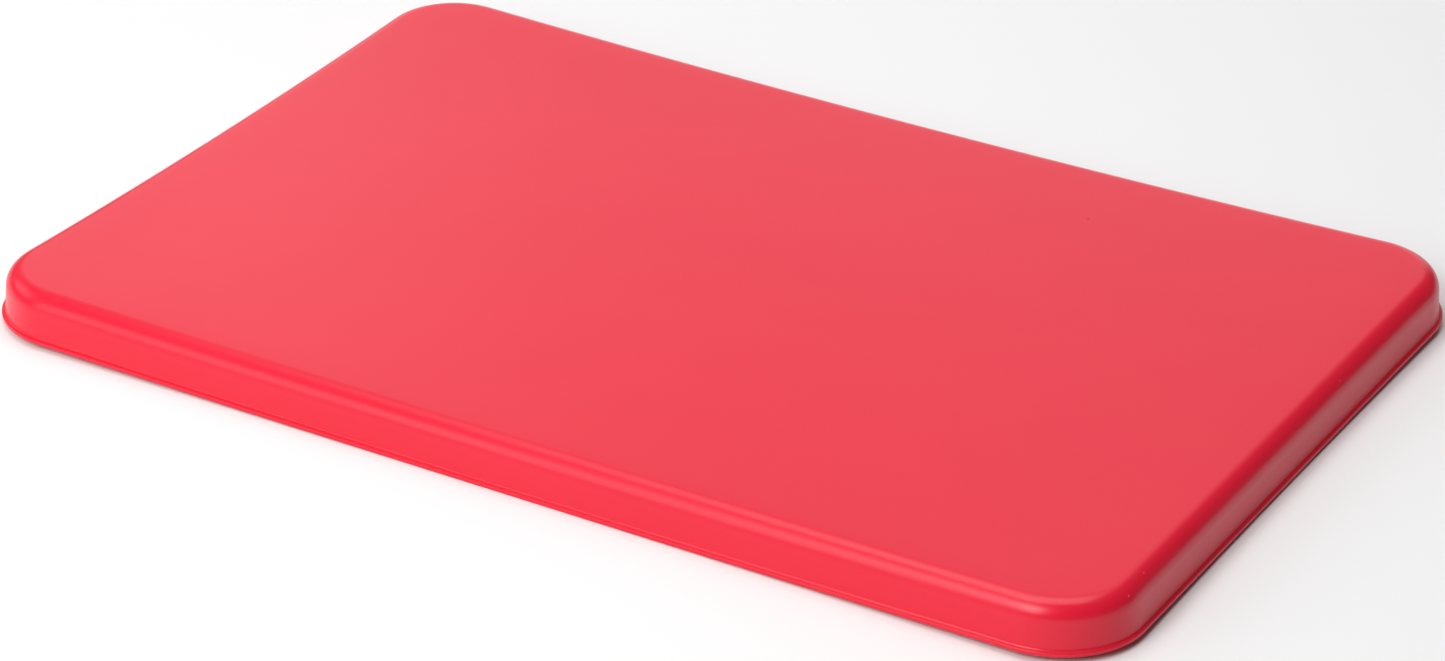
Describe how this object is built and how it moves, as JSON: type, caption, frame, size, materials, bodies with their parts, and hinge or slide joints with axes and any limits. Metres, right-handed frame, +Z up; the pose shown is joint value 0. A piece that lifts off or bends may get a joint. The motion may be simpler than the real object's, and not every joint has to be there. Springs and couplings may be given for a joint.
{
  "type": "cutting board",
  "caption": "Rectangular moulded cutting board with a rolled-over edge, a thin foot rim and a ribbed hollow underside on screwed-on rubber feet.",
  "frame": {"origin": "on the counter, under the middle of the board", "axes": "+Z up out of the cutting face, +X along the long side, +Y along the short side"},
  "size_m": [0.6, 0.4, 0.025],
  "materials": {
    "red_plastic": "satin moulded",
    "black_rubber": "matte moulded",
    "stainless_steel": "satin"
  },
  "bodies": {
    "root": {"board_shell": "red_plastic", "foot_1": "black_rubber", "foot_washer_1": "stainless_steel", "foot_screw_1": "stainless_steel", "foot_2": "black_rubber", "foot_washer_2": "stainless_steel", "foot_screw_2": "stainless_steel", "foot_3": "black_rubber", "foot_washer_3": "stainless_steel", "foot_screw_3": "stainless_steel", "foot_4": "black_rubber", "foot_washer_4": "stainless_steel", "foot_screw_4": "stainless_steel", "foot_5": "black_rubber", "foot_washer_5": "stainless_steel", "foot_screw_5": "stainless_steel", "foot_6": "black_rubber", "foot_washer_6": "stainless_steel", "foot_screw_6": "stainless_steel", "foot_7": "black_rubber", "foot_washer_7": "stainless_steel", "foot_screw_7": "stainless_steel", "foot_8": "black_rubber", "foot_washer_8": "stainless_steel", "foot_screw_8": "stainless_steel"}
  },
  "joints": []
}
